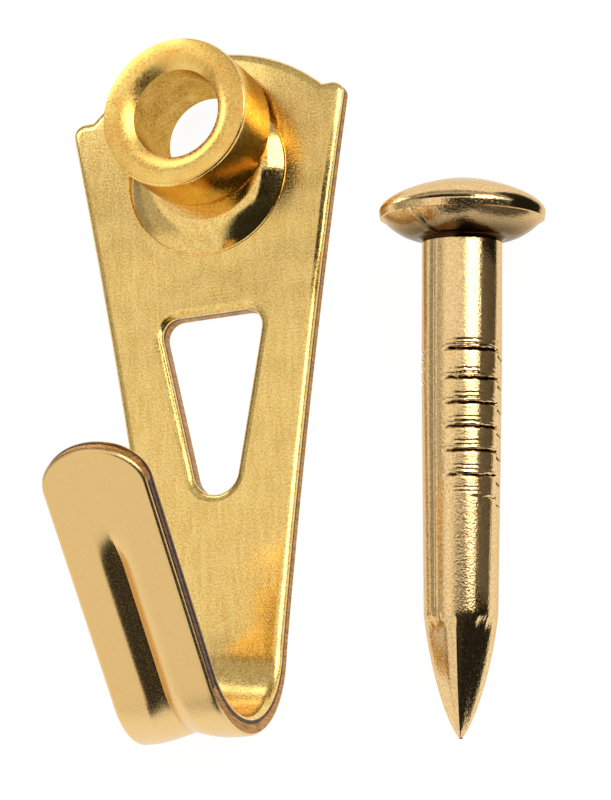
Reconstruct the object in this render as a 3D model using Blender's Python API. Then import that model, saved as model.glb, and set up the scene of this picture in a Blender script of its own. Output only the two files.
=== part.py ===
"""A brick hanger and its nail, lying on a table as they come out of the packet.

The hanger is a hook plate stamped from brass-plated sheet, with a turned brass guide bush riveted
into it. The masonry nail that goes through the bush lies beside it. X runs across the plate, Y runs
up it from hook to bush, and Z points away from the wall. The origin is on the wall face, on the
plate's centre line, on the solid web between the bush and the window.
"""

import math

import bmesh
import bpy
from mathutils import Vector

MM = 0.001

# Sheet metal of the hook plate
SHEET = 1.0 * MM
EDGE_ROUND = 0.3 * MM  # the rolled-over edge that the blanking punch leaves on the front face

# Nail: the wire, its head and its point
SHANK_RADIUS = 1.825 * MM
SHANK_TAPER = 0.15 * MM  # how much thinner in radius the shank is where the point starts
NAIL_LENGTH = 25.4 * MM
HEAD_RADIUS = 3.8 * MM
DOME_HEIGHT = 1.6 * MM  # above the widest part of the head
DOME_POINT = 1.35  # exponents of the dome: how pointed its top is, and how round its edge
DOME_FULLNESS = 0.7
UNDERSIDE_DEPTH = 1.18 * MM
RIM_DROP = 0.2 * MM  # from the widest part down to the edge of the underside, and in from it
RIM_INSET = 0.07 * MM
NECK_FILLET = 0.25 * MM
POINT_LENGTH = 5.6 * MM
POINT_TIP_RADIUS = 0.12 * MM
POINT_CURVE = 1.4  # exponents of the ogive: how late it turns in, and how blunt it ends
POINT_BLUNTNESS = 0.72
POINT_SQUARENESS = 1.3  # added to the exponent 2 of a circle, so the point has four soft faces
POINT_TURN = math.radians(52)  # which way one of those faces looks, round the nail

# Guide bush
NAIL_CLEARANCE = 0.375 * MM  # radial room for the nail in the bore
RIM_WALL = 1.52 * MM  # bore to outside of the bush
BODY_LENGTH = 3.3 * MM  # from its seat on the boss to the rim
FUNNEL_DEPTH = 0.38 * MM
FUNNEL_FLARE = 0.85 * MM  # how far the funnel opens beyond the bore
RIM_BEVEL = 0.12 * MM  # the outer edge of the rim, across and down
RIM_BEVEL_DROP = 0.25 * MM
RIM_FALL = 0.05 * MM  # how far the rim falls away from its crest to the bevel
BASE_CHAMFER = 0.12 * MM
SPIGOT_WALL = 0.5 * MM
TAIL_FLARE = 0.5 * MM  # how far the riveted tail spreads beyond the spigot
TAIL_RECESS = 0.12 * MM  # the tail stops this far inside the wall face
SEAT_GAP = 0.05 * MM

# Boss pressed into the plate under the bush
BOSS_RISE = 0.6 * MM
BOSS_RADIUS = 4.09 * MM
BOSS_FLAT_RADIUS = 2.75 * MM
BOSS_DROP = 1.9 * MM  # the boss is centred this far below the bush

# Outline of the plate
BUSH_HEIGHT = 7.5 * MM  # bush axis above the origin
HUMP_MARGIN = 0.55 * MM  # top of the hump beyond the bush
HUMP_DROP = 2.47 * MM  # from the top of the hump to the shoulders
HUMP_HALF = 6.1 * MM
SHOULDER_HALF = 7.2 * MM
SHOULDER_CORNER = 0.62 * MM
NECK_HALF = 3.08 * MM  # half the width where the bend starts
SIDE_BOW = 0.2 * MM  # how far the long sides curve in
BEND_DROP = 25.6 * MM  # from the bush axis down to the start of the bend

# Window
WINDOW_DROP = 9.0 * MM  # from the bush axis to its top edge
WINDOW_LENGTH = 8.9 * MM
LEG_TOP = 2.7 * MM  # width of metal left beside the window, at its top and bottom
LEG_BOTTOM = 2.95 * MM
WINDOW_CORNER = 0.85 * MM

# Hook
BEND_RADIUS = 3.33 * MM  # inside of the bend
LIP_LEAN = math.radians(39.0)  # between the lip and the plate
LIP_LENGTH = 12.23 * MM  # straight part, to the tip
LIP_HALF = 2.48 * MM
TIP_ROUND = 1.9 * MM

# Stiffening bead pressed into the lip and round the bend
BEAD_DEPTH = 0.42 * MM
BEAD_HALF = 0.72 * MM
BEAD_LIP_RUN = 8.1 * MM  # from the end of the bend up the lip
BEAD_PLATE_RUN = 2.6 * MM  # from the start of the bend up the plate
BEAD_LIP_RAMP = 0.9 * MM

# Where the nail lies
NAIL_GAP = 2.77 * MM  # between the shoulders and the nail's head, across the plate
NAIL_DROP = 6.89 * MM  # the widest part of its head below the bush axis
NAIL_YAW = math.radians(-5.3)
TABLE_GAP = 0.01 * MM

# Facets
TURN_STEPS = 48
BEND_STEPS = 14
ARC_STEPS = 8
ROUND_STEPS = 3

# Sizes that follow from the others
bush_y = BUSH_HEIGHT
bore_radius = SHANK_RADIUS + NAIL_CLEARANCE
bush_radius = bore_radius + RIM_WALL
spigot_radius = bore_radius + SPIGOT_WALL
hole_radius = spigot_radius + SEAT_GAP
tail_radius = spigot_radius + TAIL_FLARE
seat_z = SHEET + BOSS_RISE + SEAT_GAP
rim_z = seat_z + BODY_LENGTH
boss_y = bush_y - BOSS_DROP
hump_y = bush_y + bush_radius + HUMP_MARGIN
shoulder_y = hump_y - HUMP_DROP
bend_y = bush_y - BEND_DROP
window_top = bush_y - WINDOW_DROP
window_bottom = window_top - WINDOW_LENGTH
neutral_radius = BEND_RADIUS + SHEET / 2
bend_angle = math.pi - LIP_LEAN
bend_length = neutral_radius * bend_angle


def clear_scene():
    for obj in list(bpy.data.objects):
        bpy.data.objects.remove(obj, do_unlink=True)


def metal(name, colour, roughness):
    material = bpy.data.materials.new(name)
    material.use_nodes = True
    shader = material.node_tree.nodes["Principled BSDF"]
    shader.inputs["Base Color"].default_value = (*colour, 1.0)
    shader.inputs["Metallic"].default_value = 1.0
    shader.inputs["Roughness"].default_value = roughness
    return material


def add_object(name, bm, material=None):
    mesh = bpy.data.meshes.new(name)
    bm.to_mesh(mesh)
    bm.free()
    obj = bpy.data.objects.new(name, mesh)
    bpy.context.scene.collection.objects.link(obj)
    if material:
        mesh.materials.append(material)
    return obj


def smooth(obj, angle=math.radians(28)):
    obj.data.shade_smooth()
    obj.data.set_sharp_from_angle(angle=angle)


def turned(name, profile, material=None, ring=False):
    """A piece turned on a lathe: profile holds (radius, height), down the outer side."""
    bm = bmesh.new()
    points = [bm.verts.new((radius, 0.0, height)) for radius, height in profile]
    for first, second in zip(points, points[1:]):
        bm.edges.new((first, second))
    if ring:
        bm.edges.new((points[-1], points[0]))
    obj = add_object(name, bm, material)
    screw = obj.modifiers.new("turn", "SCREW")
    screw.axis = "Z"
    screw.steps = TURN_STEPS
    screw.render_steps = TURN_STEPS
    screw.use_merge_vertices = True
    screw.merge_threshold = 1e-7
    screw.use_smooth_shade = True
    return obj


def combine(target, operation, tool):
    """Joins or cuts the target with a tool that stays out of the render."""
    tool.hide_render = True
    tool.display_type = "WIRE"
    boolean = target.modifiers.new(tool.name, "BOOLEAN")
    boolean.operation = operation
    boolean.solver = "EXACT"
    boolean.object = tool


def arc(centre_x, centre_y, radius, start, end, steps=ARC_STEPS):
    """Points on an arc, angles in degrees from +X."""
    angles = [math.radians(start + (end - start) * i / steps) for i in range(steps + 1)]
    return [(centre_x + radius * math.cos(a), centre_y + radius * math.sin(a)) for a in angles]


def side_half(y):
    """Half the width of the plate at a height on its long sides."""
    start = shoulder_y - SHOULDER_CORNER
    along = (start - y) / (start - bend_y)
    straight = SHOULDER_HALF + (NECK_HALF - SHOULDER_HALF) * along
    return straight - 4 * SIDE_BOW * along * (1 - along)


def blank_outline():
    """The flat blank before bending, anticlockwise, with the hook's strip straight below it."""
    hump_radius = (HUMP_HALF**2 + HUMP_DROP**2) / (2 * HUMP_DROP)
    hump_angle = math.degrees(math.asin(HUMP_HALF / hump_radius))
    side_start = shoulder_y - SHOULDER_CORNER
    side_step = (side_start - bend_y) / ARC_STEPS
    strip_end = bend_y - bend_length
    tip_start = strip_end - LIP_LENGTH + TIP_ROUND
    right = arc(0, hump_y - hump_radius, hump_radius, 90, 90 - hump_angle)
    right += arc(SHOULDER_HALF - SHOULDER_CORNER, side_start, SHOULDER_CORNER, 90, 0, ROUND_STEPS + 1)
    right += [(side_half(y), y) for y in (side_start - side_step * i for i in range(1, ARC_STEPS + 1))]
    right.append((LIP_HALF, strip_end))
    right += [(LIP_HALF * math.cos(a), tip_start - TIP_ROUND * math.sin(a))
              for a in (math.pi / 2 * i / ARC_STEPS for i in range(ARC_STEPS + 1))]
    right[-1] = (0.0, tip_start - TIP_ROUND)
    left = [(-x, y) for x, y in reversed(right[1:-1])]
    return list(reversed(right + left))


def bead_depth(x, along):
    """How far the bead pushes the sheet towards the inside of the hook.

    along runs down the plate from the start of the bend. The groove is narrow on the lip and opens
    to the whole width of the strip where it goes round the bend.
    """
    lip_end = bend_length + BEAD_LIP_RUN
    rise = min(max((along + BEAD_PLATE_RUN) / (BEAD_PLATE_RUN + bend_length / 3), 0.0), 1.0)
    fall = min(max((lip_end - along) / BEAD_LIP_RAMP, 0.0), 1.0)
    on_lip = min(max((along - bend_length / 2) / (bend_length / 2), 0.0), 1.0)
    half = LIP_HALF + (BEAD_HALF - LIP_HALF) * on_lip * (2 - on_lip)
    across = max(1 - abs(x) / half, 0.0)
    return BEAD_DEPTH * min(rise, fall) * across


def bent(point):
    """Where a point of the flat blank ends up once the strip is pressed and bent into the hook."""
    along = bend_y - point.y
    level = point.z + bead_depth(point.x, along)
    if along <= 0:
        return Vector((point.x, point.y, level))
    turn = min(along / neutral_radius, bend_angle)
    radius = BEND_RADIUS + SHEET - level
    straight = max(along - bend_length, 0.0)
    y = bend_y - radius * math.sin(turn) - straight * math.cos(turn)
    z = SHEET + BEND_RADIUS - radius * math.cos(turn) + straight * math.sin(turn)
    return Vector((point.x, y, z))


def slice_across(bm, normal, position, faces):
    geometry = {v for f in faces for v in f.verts} | {e for f in faces for e in f.edges} | set(faces)
    bmesh.ops.bisect_plane(bm, geom=list(geometry), dist=1e-8, plane_co=normal * position, plane_no=normal)


def make_plate(material):
    """Blanks the sheet, rolls its front edges over, slices the strip for bending and bends it."""
    bm = bmesh.new()
    back = bm.faces.new([bm.verts.new((x, y, 0.0)) for x, y in blank_outline()])
    front = bmesh.ops.extrude_face_region(bm, geom=[back])
    raised = [v for v in front["geom"] if isinstance(v, bmesh.types.BMVert)]
    bmesh.ops.translate(bm, verts=raised, vec=(0.0, 0.0, SHEET))
    bmesh.ops.recalc_face_normals(bm, faces=bm.faces[:])
    rolled = [e for e in bm.edges if all(v.co.z > SHEET / 2 for v in e.verts)]
    bmesh.ops.bevel(bm, geom=rolled, offset=EDGE_ROUND, segments=ROUND_STEPS, profile=0.5, affect="EDGES")
    strip_top = bend_y + BEAD_PLATE_RUN
    lip_start = bend_y - bend_length
    bead_end = lip_start - BEAD_LIP_RUN
    stations = [strip_top, bend_y + BEAD_PLATE_RUN / 2]
    stations += [bend_y - bend_length * i / BEND_STEPS for i in range(BEND_STEPS + 1)]
    stations += [lip_start - BEAD_LIP_RUN / 2, bead_end + BEAD_LIP_RAMP, bead_end]
    for y in stations:
        slice_across(bm, Vector((0, 1, 0)), y, bm.faces[:])
    for share in (-1.0, -0.5, 0.0, 0.5, 1.0):
        strip = [f for f in bm.faces if max(v.co.y for v in f.verts) < strip_top + EDGE_ROUND / 10
                 and min(v.co.y for v in f.verts) > bead_end - EDGE_ROUND / 10]
        slice_across(bm, Vector((1, 0, 0)), BEAD_HALF * share, strip)
    for vert in bm.verts:
        vert.co = bent(vert.co)
    plate = add_object("hook_plate", bm, material)
    boss_slope = (BOSS_RADIUS - BOSS_FLAT_RADIUS) / BOSS_RISE
    root = SHEET / 4
    boss_profile = [(0.0, SHEET + BOSS_RISE), (BOSS_FLAT_RADIUS, SHEET + BOSS_RISE),
                    (BOSS_RADIUS + boss_slope * root, SHEET - root), (0.0, SHEET - root)]
    boss = turned("boss_form", boss_profile)
    boss.location.y = boss_y
    combine(plate, "UNION", boss)
    hollow = turned("boss_hollow", boss_profile)
    hollow.location = (0.0, boss_y, -SHEET)
    combine(plate, "DIFFERENCE", hollow)
    hole = turned("bush_hole", bush_hole_profile())
    hole.location.y = bush_y
    combine(plate, "DIFFERENCE", hole)
    combine(plate, "DIFFERENCE", make_window_tool())
    # The cuts are applied, so that the shading can follow the finished form and keep its low creases.
    pressed = plate.evaluated_get(bpy.context.evaluated_depsgraph_get())
    plate.data = bpy.data.meshes.new_from_object(pressed)
    for cut in plate.modifiers:
        bpy.data.objects.remove(cut.object, do_unlink=True)
    plate.modifiers.clear()
    smooth(plate, math.radians(13))
    return plate


def tail_heights():
    """Top and bottom of the riveted tail's flare."""
    return TAIL_RECESS + TAIL_FLARE, TAIL_RECESS


def bush_hole_profile():
    """The hole for the bush, opened at the back so that the riveted tail stays below the wall face."""
    flare_top, flare_bottom = tail_heights()
    flare_radius = tail_radius + SEAT_GAP
    return [(0.0, rim_z), (hole_radius, rim_z), (hole_radius, flare_top + SEAT_GAP),
            (flare_radius, flare_bottom + SEAT_GAP), (flare_radius, -SHEET), (0.0, -SHEET)]


def window_outline(grow):
    """The window as a tapered slot with rounded corners, enlarged all round by grow."""
    top_half = side_half(window_top) - LEG_TOP
    bottom_half = side_half(window_bottom) - LEG_BOTTOM
    lean = math.degrees(math.atan2(top_half - bottom_half, WINDOW_LENGTH))
    slope = math.radians(lean)
    corner_y = window_top - WINDOW_CORNER
    corner_half = top_half - (top_half - bottom_half) * WINDOW_CORNER / WINDOW_LENGTH
    corner_x = corner_half - WINDOW_CORNER / math.cos(slope)
    end_radius = bottom_half / math.cos(slope)
    end_y = window_bottom + end_radius
    right = arc(corner_x, corner_y, WINDOW_CORNER + grow, 90, -lean)
    right += arc(0.0, end_y, end_radius + grow, -lean, -90)
    left = [(-x, y) for x, y in reversed(right[:-1])]
    return right + left


def make_window_tool():
    """The window's punch, flared where it leaves the front so that this edge is rolled over too."""
    bm = bmesh.new()
    turns = [math.radians(75) * i / ROUND_STEPS for i in range(ROUND_STEPS + 1)]
    levels = [(-SHEET, 0.0)]
    levels += [(SHEET - EDGE_ROUND + EDGE_ROUND * math.sin(a), EDGE_ROUND * (1 - math.cos(a))) for a in turns]
    levels.append((SHEET + EDGE_ROUND, EDGE_ROUND * 2))
    rings = []
    for height, grow in levels:
        rings.append([bm.verts.new((x, y, height)) for x, y in window_outline(grow)])
    loft(bm, rings)
    return add_object("window_punch", bm)


def loft(bm, rings):
    """Skins a stack of rings of equal length and closes both ends."""
    for lower, upper in zip(rings, rings[1:]):
        for i in range(len(lower)):
            j = (i + 1) % len(lower)
            bm.faces.new((lower[i], lower[j], upper[j], upper[i]))
    bm.faces.new(rings[0])
    bm.faces.new(rings[-1])
    bmesh.ops.recalc_face_normals(bm, faces=bm.faces[:])


def make_bush(material):
    """The turned bush: a funnel mouth, a plain body, and a spigot riveted over behind the plate."""
    crest_radius = bore_radius + FUNNEL_FLARE
    bevel_radius = bush_radius - RIM_BEVEL
    flare_top, flare_bottom = tail_heights()
    # The mouth curves up from the crisp edge of the bore to the crest of the rim.
    profile = [(bore_radius + FUNNEL_FLARE * share, rim_z - FUNNEL_DEPTH * (1 - share) ** 2)
               for share in (i / (2 * ROUND_STEPS) for i in range(2 * ROUND_STEPS + 1))]
    profile += [(crest_radius + (bevel_radius - crest_radius) * share, rim_z - RIM_FALL * share**2)
                for share in (i / ROUND_STEPS for i in range(1, ROUND_STEPS + 1))]
    profile += [(bush_radius, rim_z - RIM_FALL - RIM_BEVEL_DROP), (bush_radius, seat_z + BASE_CHAMFER),
                (bush_radius - BASE_CHAMFER, seat_z), (spigot_radius, seat_z), (spigot_radius, flare_top),
                (tail_radius, flare_bottom), (bore_radius, flare_bottom)]
    bush = turned("guide_bush", profile, material, ring=True)
    bush.location.y = bush_y
    return bush


def nail_rings():
    """(distance from the head's widest part to the tip, radius, exponent of the section) down the nail."""
    neck = UNDERSIDE_DEPTH + NECK_FILLET
    tip = NAIL_LENGTH - DOME_HEIGHT
    point_start = tip - POINT_LENGTH
    point_radius = SHANK_RADIUS - SHANK_TAPER
    quarter = [math.pi / 2 * i / ARC_STEPS for i in range(ARC_STEPS + 1)]
    rings = []
    for a in quarter[1:]:
        share = math.sin(a)
        rings.append((-DOME_HEIGHT * (1 - share**DOME_POINT) ** DOME_FULLNESS, HEAD_RADIUS * share, 2.0))
    rings.append((RIM_DROP / 2, HEAD_RADIUS - RIM_INSET / 4, 2.0))
    rings.append((RIM_DROP, HEAD_RADIUS - RIM_INSET, 2.0))
    # The underside is a shallow bowl that turns into the shank at a small fillet.
    bowl = HEAD_RADIUS - RIM_INSET - SHANK_RADIUS - NECK_FILLET
    for a in quarter[1:-1]:
        radius = SHANK_RADIUS + NECK_FILLET + bowl * math.cos(a)
        rings.append((RIM_DROP + (UNDERSIDE_DEPTH - RIM_DROP) * math.sin(a), radius, 2.0))
    rings.append((UNDERSIDE_DEPTH, SHANK_RADIUS + NECK_FILLET, 2.0))
    rings.append((UNDERSIDE_DEPTH + NECK_FILLET * 0.3, SHANK_RADIUS + NECK_FILLET * 0.3, 2.0))
    rings.append((neck, SHANK_RADIUS, 2.0))
    taper_start = neck + (point_start - neck) / 3
    rings.append((taper_start, SHANK_RADIUS, 2.0))
    rings.append((point_start, point_radius, 2.0))
    for i in range(1, ARC_STEPS + 1):
        share = 1 - (1 - i / ARC_STEPS) ** 1.6
        ogive = point_radius * (1 - share**POINT_CURVE) ** POINT_BLUNTNESS
        radius = max(ogive, POINT_TIP_RADIUS)
        rings.append((point_start + POINT_LENGTH * share, radius, 2.0 + POINT_SQUARENESS * min(3 * share, 1)))
    return rings


def make_nail(material):
    """The nail, lying on the rim of its head and on the end of its shank.

    A ring's radius is where the ridges between the point's faces are, so they run on from the shank.
    """
    bm = bmesh.new()
    loops = []
    rings = nail_rings()
    for along, radius, exponent in rings:
        loop = []
        for i in range(TURN_STEPS):
            turn = 2 * math.pi * i / TURN_STEPS
            c = abs(math.cos(turn - POINT_TURN))
            s = abs(math.sin(turn - POINT_TURN))
            ridge = 2 ** (0.5 - 1 / exponent)
            reach = radius / ridge / (c**exponent + s**exponent) ** (1 / exponent)
            loop.append(bm.verts.new((reach * math.cos(turn), reach * math.sin(turn), -along)))
        loops.append(loop)
    loft(bm, loops)
    nail = add_object("nail", bm, material)
    tilt = min(math.atan2(HEAD_RADIUS - radius, along) for along, radius, exponent in rings if along > RIM_DROP)
    nail.rotation_euler = (tilt - math.pi / 2, 0.0, NAIL_YAW)
    lowest = max(radius * math.cos(tilt) + along * math.sin(tilt) for along, radius, exponent in rings)
    nail.location = (SHOULDER_HALF + NAIL_GAP + HEAD_RADIUS, bush_y - NAIL_DROP, lowest + TABLE_GAP)
    smooth(nail)
    return nail


clear_scene()
make_plate(metal("brass_plated_sheet", (0.80, 0.60, 0.26), 0.3))
make_bush(metal("turned_brass", (0.72, 0.48, 0.18), 0.35))
make_nail(metal("brass_plated_wire", (0.78, 0.58, 0.28), 0.22))
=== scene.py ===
"""A brick hanger and its nail, dressed for a product picture on white.

X runs across the hook plate, Y runs up it from the hook to the bush, and Z points away from the
wall. Lengths in the sections are millimetres, and each mesh is turned to metres when it is made.
"""

import math

import bmesh
import bpy
from mathutils import Matrix, Vector, noise


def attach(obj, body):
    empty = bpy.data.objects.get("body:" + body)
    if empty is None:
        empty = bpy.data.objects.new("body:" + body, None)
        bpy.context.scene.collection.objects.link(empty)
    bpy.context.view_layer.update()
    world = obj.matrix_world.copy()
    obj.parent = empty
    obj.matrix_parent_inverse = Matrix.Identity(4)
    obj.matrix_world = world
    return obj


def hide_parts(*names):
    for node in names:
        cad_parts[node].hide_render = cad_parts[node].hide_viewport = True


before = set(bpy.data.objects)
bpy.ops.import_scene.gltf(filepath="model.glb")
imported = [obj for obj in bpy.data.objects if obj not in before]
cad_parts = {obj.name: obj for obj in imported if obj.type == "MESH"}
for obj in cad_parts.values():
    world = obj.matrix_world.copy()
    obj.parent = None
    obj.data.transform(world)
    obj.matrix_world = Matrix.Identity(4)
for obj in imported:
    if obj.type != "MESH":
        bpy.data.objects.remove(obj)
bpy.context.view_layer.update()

# The hook plate is one piece of 1 mm steel sheet, blanked, pressed and bent, then brass plated. The
# punch rolls its front edges over, burnishes a band below them, coloured near black as painted shade,
# and tears the rest to brown. A boss is pressed up under the bush, and a bead down the lip and round
# the bend keeps the hook stiff.

MM = 0.001
SHEET = 1.0
BUSH_Y = 7.5

HUMP_TOP = BUSH_Y + 4.27
HUMP_DROP = 2.47
HUMP_HALF = 6.1
SHOULDER_HALF = 7.2
SHOULDER_CORNER = 0.62
NECK_HALF = 3.08
SIDE_BOW = 0.2
BEND_Y = BUSH_Y - 25.6
BEND_RADIUS = 3.33
LIP_LEAN = math.radians(39)
LIP_LENGTH = 12.23
LIP_HALF = 2.48
TIP_ROUND = 1.9
NEUTRAL_RADIUS = BEND_RADIUS + SHEET / 2
BEND_ANGLE = math.pi - LIP_LEAN
BEND_LENGTH = NEUTRAL_RADIUS * BEND_ANGLE
LIP_Y = BEND_Y - BEND_LENGTH
SHOULDER_Y = HUMP_TOP - HUMP_DROP
SIDE_TOP = SHOULDER_Y - SHOULDER_CORNER

ROLLOVER = 0.3
ROLL_WIDTH = 0.46
BACK_ROUND = 0.22
TORN_TOP = 0.52
TORN_INSET = 0.025
BURNISH_STEP = 0.03
MITRE_LIMIT = 0.6

BEAD_DEPTH = 0.4
BEAD_HALF = 0.82
BEAD_LIP_RUN = 8.7
BEAD_PLATE_RUN = 2.6
BEAD_START_RAMP = BEAD_PLATE_RUN + BEND_LENGTH / 3
BEAD_END_RAMP = 2.4
BEAD_BLUNTNESS = 0.03
BEAD_SOFTNESS = 1.5

WINDOW_TOP = BUSH_Y - 9.0
WINDOW_LENGTH = 8.9
LEG_TOP = 2.7
LEG_BOTTOM = 2.95
WINDOW_CORNER = 0.85
PUNCH_ROLL = math.radians(82)
PUNCH_FLARE = 3 * ROLL_WIDTH

BOSS_Y = BUSH_Y - 1.9
BOSS_RISE = 0.6
BOSS_RADIUS = 4.09
BOSS_FLAT_RADIUS = 2.5
BOSS_ROOT = 0.25
FOOT_RING = 0.05
FOOT_RING_OUTSIDE = 0.14
FOOT_RING_CREST = (0.09, 0.03)
HOLE_RADIUS = 2.75
TAIL_RADIUS = 3.2
TAIL_RECESS = 0.12
SEAT_GAP = 0.05

STRIP_ROWS = 76
STRIP_COLUMNS = 24
COLUMN_WIDTH = 0.09
SLICE_MARGIN = 0.01
ROUND_STEPS = 160
HOLE_STEPS = 96
WELD = 1e-4

FACE, BURNISHED_SHADED, TORN, BACK, PRESSED = range(5)


def arc(x, y, radius, start, end, steps):
    """Points on an arc about (x, y), angles in degrees from +X."""
    angles = [math.radians(start + (end - start) * i / steps) for i in range(steps + 1)]
    return [(x + radius * math.cos(a), y + radius * math.sin(a)) for a in angles]


def eased(share):
    """A share held between 0 and 1, with a soft start and end."""
    held = min(max(share, 0.0), 1.0)
    return held * held * (3 - 2 * held)


def side_half(y):
    """Half the plate's width at a height on its long sides, which bow in a little."""
    along = (SIDE_TOP - y) / (SIDE_TOP - BEND_Y)
    return SHOULDER_HALF + (NECK_HALF - SHOULDER_HALF) * along - 4 * SIDE_BOW * along * (1 - along)


def blank_outline():
    """The flat blank, anticlockwise, with the hook's strip straight below the plate."""
    hump_steps, corner_steps, side_steps, tip_steps = 28, 8, 30, 24
    hump_radius = (HUMP_HALF**2 + HUMP_DROP**2) / (2 * HUMP_DROP)
    hump_angle = math.degrees(math.asin(HUMP_HALF / hump_radius))
    tip_start = LIP_Y - LIP_LENGTH + TIP_ROUND
    right = arc(0, HUMP_TOP - hump_radius, hump_radius, 90, 90 - hump_angle, hump_steps)
    right += arc(SHOULDER_HALF - SHOULDER_CORNER, SIDE_TOP, SHOULDER_CORNER, 90, 0, corner_steps)
    for i in range(1, side_steps + 1):
        y = SIDE_TOP + (BEND_Y - SIDE_TOP) * i / side_steps
        right.append((side_half(y), y))
    right.append((LIP_HALF, LIP_Y))
    for i in range(tip_steps):
        a = math.pi / 2 * i / tip_steps
        right.append((LIP_HALF * math.cos(a), tip_start - TIP_ROUND * math.sin(a)))
    right.append((0.0, tip_start - TIP_ROUND))
    left = [(-x, y) for x, y in reversed(right[1:-1])]
    return list(reversed(right + left))


def inset_ring(outline, inset):
    """The outline moved inwards, with its corners mitred."""
    ring = []
    for i, (x, y) in enumerate(outline):
        before = Vector(outline[i - 1])
        here = Vector((x, y))
        after = Vector(outline[(i + 1) % len(outline)])
        first = (here - before).normalized()
        second = (after - here).normalized()
        inwards = Vector((-first.y - second.y, first.x + second.x)).normalized()
        mitre = max(inwards.dot(Vector((-first.y, first.x))), MITRE_LIMIT)
        ring.append(here + inwards * (inset / mitre))
    return ring


def edge_profile():
    """(height, inset, finish) up the cut edge: tumbled back, torn band, burnished band, rollover."""
    back_steps, plated_steps, torn_steps, roll_steps = 6, 4, 4, 8
    levels = []
    for i in range(back_steps + 1):
        a = math.pi / 2 * i / back_steps
        finish = BACK if i < plated_steps else TORN
        levels.append((BACK_ROUND * (1 - math.cos(a)), BACK_ROUND * (1 - math.sin(a)), finish))
    for i in range(1, torn_steps):
        levels.append((BACK_ROUND + (TORN_TOP - BACK_ROUND) * i / torn_steps, TORN_INSET, TORN))
    levels += [(TORN_TOP, TORN_INSET, BURNISHED_SHADED), (TORN_TOP + BURNISH_STEP, 0.0, BURNISHED_SHADED)]
    for i in range(roll_steps + 1):
        a = math.pi / 2 * i / roll_steps
        levels.append((SHEET - ROLLOVER * (1 - math.sin(a)), ROLL_WIDTH * (1 - math.cos(a)), FACE))
    return levels


def bead_depth(x, along):
    """How far the bead pushes the sheet inwards; along runs down from the start of the bend."""
    rise = (along + BEAD_PLATE_RUN) / BEAD_START_RAMP
    fall = (BEND_LENGTH + BEAD_LIP_RUN - along) / BEAD_END_RAMP
    on_lip = min(max((along - BEND_LENGTH / 2) / (BEND_LENGTH / 2), 0.0), 1.0)
    half = LIP_HALF + (BEAD_HALF - LIP_HALF) * on_lip * (2 - on_lip)
    bottom = 1 + BEAD_BLUNTNESS - math.hypot(x / half, BEAD_BLUNTNESS)
    return BEAD_DEPTH * eased(min(rise, fall)) * max(bottom, 0.0) ** BEAD_SOFTNESS


def bent(point):
    """Where a point of the flat blank ends up in the finished hook."""
    along = BEND_Y - point.y
    level = point.z + bead_depth(point.x, along)
    if along <= 0:
        return Vector((point.x, point.y, level))
    turn = min(along / NEUTRAL_RADIUS, BEND_ANGLE)
    radius = BEND_RADIUS + SHEET - level
    straight = max(along - BEND_LENGTH, 0.0)
    y = BEND_Y - radius * math.sin(turn) - straight * math.cos(turn)
    z = SHEET + BEND_RADIUS - radius * math.cos(turn) + straight * math.sin(turn)
    return Vector((point.x, y, z))


def skin(bm, rings, wrap=False, finishes=None):
    """Joins a stack of equal rings with quads; wrap joins the last to the first, else both are capped."""
    rows = [[bm.verts.new(point) for point in ring] for ring in rings]
    pairs = list(zip(rows, rows[1:]))
    if wrap:
        pairs.append((rows[-1], rows[0]))
    for k, (lower, upper) in enumerate(pairs):
        for i in range(len(lower)):
            j = (i + 1) % len(lower)
            face = bm.faces.new((lower[i], lower[j], upper[j], upper[i]))
            face.material_index = finishes[k] if finishes else 0
    caps = [] if wrap else [bm.faces.new(rows[0]), bm.faces.new(rows[-1])]
    bmesh.ops.recalc_face_normals(bm, faces=bm.faces[:])
    return caps


def turned_rings(profile, steps):
    """Rings of a turned form, from its (radius, height) profile."""
    turns = [2 * math.pi * i / steps for i in range(steps)]
    return [[(r * math.cos(a), r * math.sin(a), z) for a in turns] for r, z in profile]


def slice_across(bm, normal, position, faces):
    """Cuts the faces along a plane, and keeps both sides."""
    geometry = {v for f in faces for v in f.verts} | {e for f in faces for e in f.edges} | set(faces)
    bmesh.ops.bisect_plane(bm, geom=list(geometry), dist=1e-5, plane_co=normal * position, plane_no=normal)


def loose_object(name, bm, location=(0, 0, 0)):
    """An object in the scene, made from a finished bmesh."""
    mesh = bpy.data.meshes.new(name)
    bm.to_mesh(mesh)
    bm.free()
    obj = bpy.data.objects.new(name, mesh)
    bpy.context.scene.collection.objects.link(obj)
    obj.location = location
    return obj


def finished_piece(name, blank, tools, materials, crease):
    """Cuts and joins the blank with its tools, and turns the result to metres, shaded smooth."""
    for operation, tool in tools:
        boolean = blank.modifiers.new(tool.name, "BOOLEAN")
        boolean.operation = operation
        boolean.solver = "EXACT"
        boolean.object = tool
    for material in materials:
        blank.data.materials.append(material)
    bpy.context.view_layer.update()
    made = bpy.data.meshes.new_from_object(blank.evaluated_get(bpy.context.evaluated_depsgraph_get()))
    for obj in [blank] + [tool for operation, tool in tools]:
        bpy.data.objects.remove(obj, do_unlink=True)
    bm = bmesh.new()
    bm.from_mesh(made)
    bmesh.ops.remove_doubles(bm, verts=bm.verts[:], dist=WELD)
    bmesh.ops.dissolve_degenerate(bm, edges=bm.edges[:], dist=WELD)
    bmesh.ops.scale(bm, vec=(MM, MM, MM), verts=bm.verts[:])
    piece = loose_object(name, bm)
    for material in materials:
        if material.name not in piece.data.materials:
            piece.data.materials.append(material)
    piece.data.shade_smooth()
    piece.data.set_sharp_from_angle(angle=math.radians(crease))
    weighted = piece.modifiers.new("flat faces stay flat", "WEIGHTED_NORMAL")
    weighted.keep_sharp = True
    weighted.weight = 80
    return piece


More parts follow.
